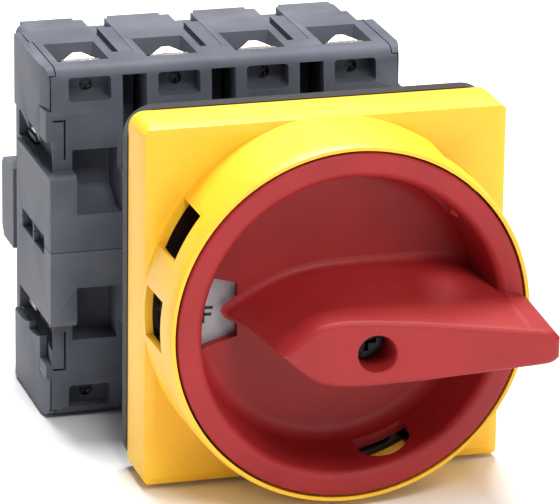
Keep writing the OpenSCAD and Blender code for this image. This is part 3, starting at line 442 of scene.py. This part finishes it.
def blade():
    """The grip blade, lofted between its foot on the floor and its climbing front face.

    Column k goes from foot point F_k up to face point T_k: P(h) = F + (T - F) h/H + n d(h), with the
    outline's normal n. Near the floor d = f - sqrt(f^2 - (f - h)^2) is the fillet f, and near the
    face d = -(e - sqrt(e^2 - (h - H + e)^2)) is the eased edge e. The face then runs in to the rim
    of the screw well, and the well goes down to the screw's seat.
    """
    f, e = 1.3, 0.95
    u = np.linspace(0, 1, 151)
    face_x = np.array([-14.4, -12, -9.6, -8.2, -6.9, -5, -3, 0, 3, 6.8, 12.6, 18, 24, 27.0, 27.9, 28.3])
    face_y = np.array([0, 2.3, 4.25, 4.85, 5.15, 5.35, 5.4, 5.28, 5.05, 4.8, 4.17, 3.6, 2.98, 2.65, 2.25, 1.6])
    foot_x = np.array([-16.9, -14.5, -12.5, -10.4, -8.4, -6.2, -4, -1, 4, 9, 14, 18, 21, 24.5,
                       28.2, 28.8, 29.0])
    foot_y = np.array([0, 1.5, 2.65, 3.65, 4.5, 5.15, 5.6, 5.95, 6.1, 6.05, 5.95, 5.75, 5.2, 4.0,
                       2.9, 2.5, 1.9])

    def smooth(x, xs, ys):
        """Linear interpolation, then a running mean that keeps the ends."""
        y = np.interp(x, xs, ys)
        for _ in range(8):
            y[1:-1] = (y[:-2] + 2 * y[1:-1] + y[2:]) / 4
        return y

    tx = face_x[0] + (face_x[-1] - face_x[0]) * u
    fx = foot_x[0] + (foot_x[-1] - foot_x[0]) * u
    ty, fy = smooth(tx, face_x, face_y), smooth(fx, foot_x, foot_y)
    cap = np.array([0.75, 0.5, 0.25])
    tx = np.concatenate([tx, np.full(4, tx[-1])])
    fx = np.concatenate([fx, np.full(4, fx[-1])])
    ty = np.concatenate([ty, ty[-1] * cap, [0]])
    fy = np.concatenate([fy, fy[-1] * cap, [0]])
    mirror_of = np.arange(len(tx) - 2, 0, -1)
    m = len(tx)
    tx, fx = np.concatenate([tx, tx[mirror_of]]), np.concatenate([fx, fx[mirror_of]])
    ty, fy = np.concatenate([ty, -ty[mirror_of]]), np.concatenate([fy, -fy[mirror_of]])
    cols = len(tx)
    over = np.hypot(fx, fy) > 24.6
    fz = np.where(over, OVERHANG, FLOOR)
    tz = FACE + CLIMB * tx
    d = np.stack([np.roll(tx, -1) - np.roll(tx, 1), np.roll(ty, -1) - np.roll(ty, 1)], 1)
    normal = np.stack([-d[:, 1], d[:, 0]], 1) / np.linalg.norm(d, axis=1)[:, None]
    height = tz - fz
    side = np.sign(np.round(fy + ty, 9))
    low = np.array([0, 0.05, 0.15, 0.3, 0.5, 0.75, 1.0, 1.3])
    mid = np.linspace(0, 1, 14)[1:-1]
    top = e * np.sin(np.radians(np.linspace(0, 90, 9)))
    rows = []
    for h in low:
        rows.append((np.full(cols, h), np.where(over, 0, f - np.sqrt(f * f - (f - h) ** 2))))
    for k in mid:
        rows.append((f + (height - e - f) * k, np.zeros(cols)))
    for k in top:
        rows.append((height - e + k, np.full(cols, -(e - math.sqrt(max(e * e - k * k, 0))))))
    grid = []
    for h, off in rows:
        w = (h / height)[:, None]
        xy = np.stack([fx, fy], 1) * (1 - w) + np.stack([tx, ty], 1) * w + normal * off[:, None]
        # The inset stays on its own side of the middle
        xy[:, 1] = np.where(side > 0, np.maximum(xy[:, 1], 0), np.where(side < 0, np.minimum(xy[:, 1], 0), 0))
        grid.append(np.concatenate([xy, (fz + h)[:, None]], 1))
    rim = grid[-1]
    circle = rim[:, :2] / np.linalg.norm(rim[:, :2], axis=1)[:, None]
    for k in np.linspace(0, 1, 9)[1:]:
        xy = rim[:, :2] * (1 - k) + circle * (WELL_R + 0.35) * k
        grid.append(np.concatenate([xy, (FACE + CLIMB * xy[:, :1])], 1))
    for wider, down in ((0.19, 0.04), (0.07, 0.14), (0, 0.34), (0, 4.0)):
        xy = circle * (WELL_R + wider)
        grid.append(np.concatenate([xy, FACE + CLIMB * xy[:, :1] - down], 1))
    for r, z in ((WELL_R, SCREW_SEAT), (SHANK_R, SCREW_SEAT), (SHANK_R, SCREW_SEAT - 6.8)):
        grid.append(np.concatenate([circle * r, np.full((cols, 1), z)], 1))
    grid = np.array(grid)
    faces = []
    for r in range(len(grid) - 1):
        a = np.arange(cols)
        b = (a + 1) % cols
        faces += np.stack([r * cols + a, r * cols + b, (r + 1) * cols + b, (r + 1) * cols + a], 1).tolist()
    # The overhanging end is closed underneath
    pair = {k: (cols - k) % cols for k in range(1, m - 1)}
    for k in range(1, m - 2):
        if over[k] and over[k + 1]:
            faces.append([k, k + 1, pair[k + 1], pair[k]])
    o = add("handle_blade", upright(grid.reshape(-1, 3)), faces, "handle", RED)
    bm = bmesh.new()
    bm.from_mesh(o.data)
    bmesh.ops.recalc_face_normals(bm, faces=bm.faces)
    bm.to_mesh(o.data)
    bm.free()
    shade(o.data, 50)
    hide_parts("rotary_handle")


# ---------------------------------------------------------------- labels

def stroke_mesh(lines, width=0.52):
    """Flat strokes: each [x0, z0, x1, z1] in mm becomes a strip of the given width."""
    verts, faces = [], []
    for x0, z0, x1, z1 in lines:
        a, b = np.array([x0, z0]), np.array([x1, z1])
        d = (b - a) / np.linalg.norm(b - a)
        n = np.array([-d[1], d[0]]) * width / 2
        k = len(verts)
        verts += [a - d * width / 2 - n, b + d * width / 2 - n, b + d * width / 2 + n, a - d * width / 2 + n]
        faces.append((k, k + 1, k + 2, k + 3))
    return verts, faces


def oval(cx, cz, rx, rz, count=28):
    """Short strokes along the ellipse (cx + rx cos t, cz + rz sin t)."""
    t = np.linspace(0, 2 * np.pi, count + 1)
    p = np.stack([cx + rx * np.cos(t), cz + rz * np.sin(t)], 1)
    return [[*p[i], *p[i + 1]] for i in range(count)]


def letter_f(x, z, w, h):
    return [[x, z, x, z + h], [x, z + h, x + w, z + h], [x, z + 0.52 * h, x + 0.82 * w, z + 0.52 * h]]


def letter_n(x, z, w, h):
    return [[x, z, x, z + h], [x, z + h, x + w, z], [x + w, z, x + w, z + h]]


def label(name, lines, front):
    verts, faces = stroke_mesh(lines)
    xyz = [(v[0] * MM, front - 0.02 * MM, v[1] * MM) for v in verts]
    return add(name, xyz, faces, "base", PRINT, smooth=False)


# ---------------------------------------------------------------- the object

EASED = [
    ("lock_ring", BLACK, 0.15, 2, 35),
    ("panel_seal", RUBBER, 0.4, 3, 35), ("mounting_tower", DARK, 0.3, 2, 35),
    ("upper_housing", GREY, 0.28, 2, 35), ("lower_housing", GREY, 0.28, 2, 35),
    ("left_cover_upper", GREY_COVER, 0.16, 2, 35), ("left_cover_lower", GREY_COVER, 0.16, 2, 35),
    ("right_cover_upper", GREY_COVER, 0.16, 2, 35), ("right_cover_lower", GREY_COVER, 0.16, 2, 35),
    ("rear_base", GREY, 0.28, 2, 35), ("line_clamp_plates", PLATED, 0.1, 2, 30),
    # The terminal screws are painted dark: painted shade for the pockets they sit in
    ("load_clamp_plates", PLATED, 0.1, 2, 30), ("line_terminal_screws", SHADED_ZINC, 0.1, 2, 35),
    ("load_terminal_screws", SHADED_ZINC, 0.1, 2, 35), ("handle_screw", BLACKENED, 0.12, 2, 35),
    ("base_screws", ZINC, 0.12, 2, 35), ("panel_screws", ZINC, 0.15, 2, 35),
]
dish()
blade()
for source, material, width, segments, angle in EASED:
    eased((source,), source + "_finished", material, width, segments, angle)
eased(("front_plate", "front_collar"), "front_moulding", YELLOW, 0.45, 3, 30)

PLAIN = {
    "legend_plate": LABEL, "hub_bush": ACETAL, "tower_screws": ZINC, "bearing_plate": DARK,
    "index_spring": WIRE, "line_contacts": COPPER, "load_contacts": COPPER, "line_clamp_cages": ZINC,
    "load_clamp_cages": ZINC, "arc_plates": ZINC, "spring_washer": BLACKENED, "drive_shaft": ZINC,
    "shaft_oring": RUBBER, "drive_pinion": ACETAL, "retaining_ring": BLACKENED, "contact_carriage": THERMOSET,
    "bridge_contacts": COPPER, "contact_springs": WIRE, "spring_caps": ACETAL,
}
for name, material in PLAIN.items():
    for material_slot in frame["nodes"][name].material_slots:
        material_slot.link = "OBJECT"
        material_slot.material = material

LETTER_W, LETTER_H = 1.35, 2.3
OFF_AT, ON_AT = (-23.75, -1.2), (-1.1, 20.4)


def labels():
    """OFF where the handle rests and ON a quarter turn on, each placed by the middle of its O."""
    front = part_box("legend_plate")[0][1]
    x, z = OFF_AT
    low = z - LETTER_H / 2
    word = oval(x, z, 0.75, LETTER_H / 2)
    word += letter_f(x + 1.4, low, LETTER_W, LETTER_H) + letter_f(x + 3.4, low, LETTER_W, LETTER_H)
    label("label_off", word, front)
    x, z = ON_AT
    word = oval(x, z, 0.78, LETTER_H / 2) + letter_n(x + 1.65, z - LETTER_H / 2, LETTER_W, LETTER_H)
    label("label_on", word, front)


labels()


# ---------------------------------------------------------------- floor, light and camera

def backdrop():
    """One pale sheet: a level floor, then a quarter turn of radius bend, then a wall."""
    low = cad_box[0][2] - 0.4 * MM
    near, far, wide, tall, bend = -3.0, 1.6, 4.0, 3.0, 0.6
    t = np.linspace(0, np.pi / 2, 17)
    y = np.concatenate([[near], far + bend * np.sin(t), [far + bend]])
    z = np.concatenate([[low], low + bend - bend * np.cos(t), [tall]])
    verts = [(side, yy, zz) for yy, zz in zip(y, z) for side in (-wide, wide)]
    faces = [(2 * i, 2 * i + 1, 2 * i + 3, 2 * i + 2) for i in range(len(y) - 1)]
    me = bpy.data.meshes.new("floor")
    me.from_pydata(verts, [], faces)
    me.polygons.foreach_set("use_smooth", np.ones(len(me.polygons), bool))
    o = bpy.data.objects.new("floor", me)
    scene.collection.objects.link(o)
    m, _, bsdf, _ = start("pale_floor")
    bsdf.inputs["Base Color"].default_value = linear("#f4f4f4")
    bsdf.inputs["Roughness"].default_value = 0.9
    me.materials.append(m)


def area(name, place, aim, size, power):
    """A square white light of power watts that faces aim."""
    data = bpy.data.lights.new(name, "AREA")
    data.energy, data.size = power, size
    o = bpy.data.objects.new(name, data)
    scene.collection.objects.link(o)
    o.location = place
    o.rotation_euler = (Vector(aim) - Vector(place)).to_track_quat("-Z", "Y").to_euler()


def soft_white_world(strength):
    world = bpy.data.worlds.new("soft_white")
    world.use_nodes = True
    background = world.node_tree.nodes["Background"]
    background.inputs["Color"].default_value = (1, 1, 1, 1)
    background.inputs["Strength"].default_value = strength
    scene.world = world


def camera(azimuth, elevation, roll, distance):
    """Looks from the front left and above at the seal's front face. Angles are in degrees."""
    a, e, r = (math.radians(v) for v in (azimuth, elevation, roll))
    back = Vector((math.sin(a) * math.cos(e), -math.cos(a) * math.cos(e), math.sin(e)))
    right = Vector((math.cos(a), math.sin(a), 0))
    up = back.cross(right)
    across = right * math.cos(r) + up * math.sin(r)
    over = up * math.cos(r) - right * math.sin(r)
    place = Vector((0, -2.7 * MM, 0)) + back * distance
    data = bpy.data.cameras.new("view")
    data.sensor_width, data.lens = 36, 295.1
    data.shift_x, data.shift_y = -0.0513, 0.0456
    data.clip_start, data.clip_end = 0.01, 20
    o = bpy.data.objects.new("view", data)
    scene.collection.objects.link(o)
    o.matrix_world = Matrix([[across[i], over[i], back[i], place[i]] for i in range(3)] + [[0, 0, 0, 1]])
    scene.camera = o


backdrop()
area("key", (0.02, -0.60, 0.80), (0, 0.01, 0), 0.35, 6.2)
area("top", (0.03, 0.35, 0.8), (0, 0.02, 0), 0.4, 13)
area("fill", (0.35, -0.9, 0.1), (0, 0, 0), 0.6, 2.6)
soft_white_world(0.26)
scene.view_settings.view_transform = "Standard"
camera(-16.94, 19.10, 0.99, 0.73814)
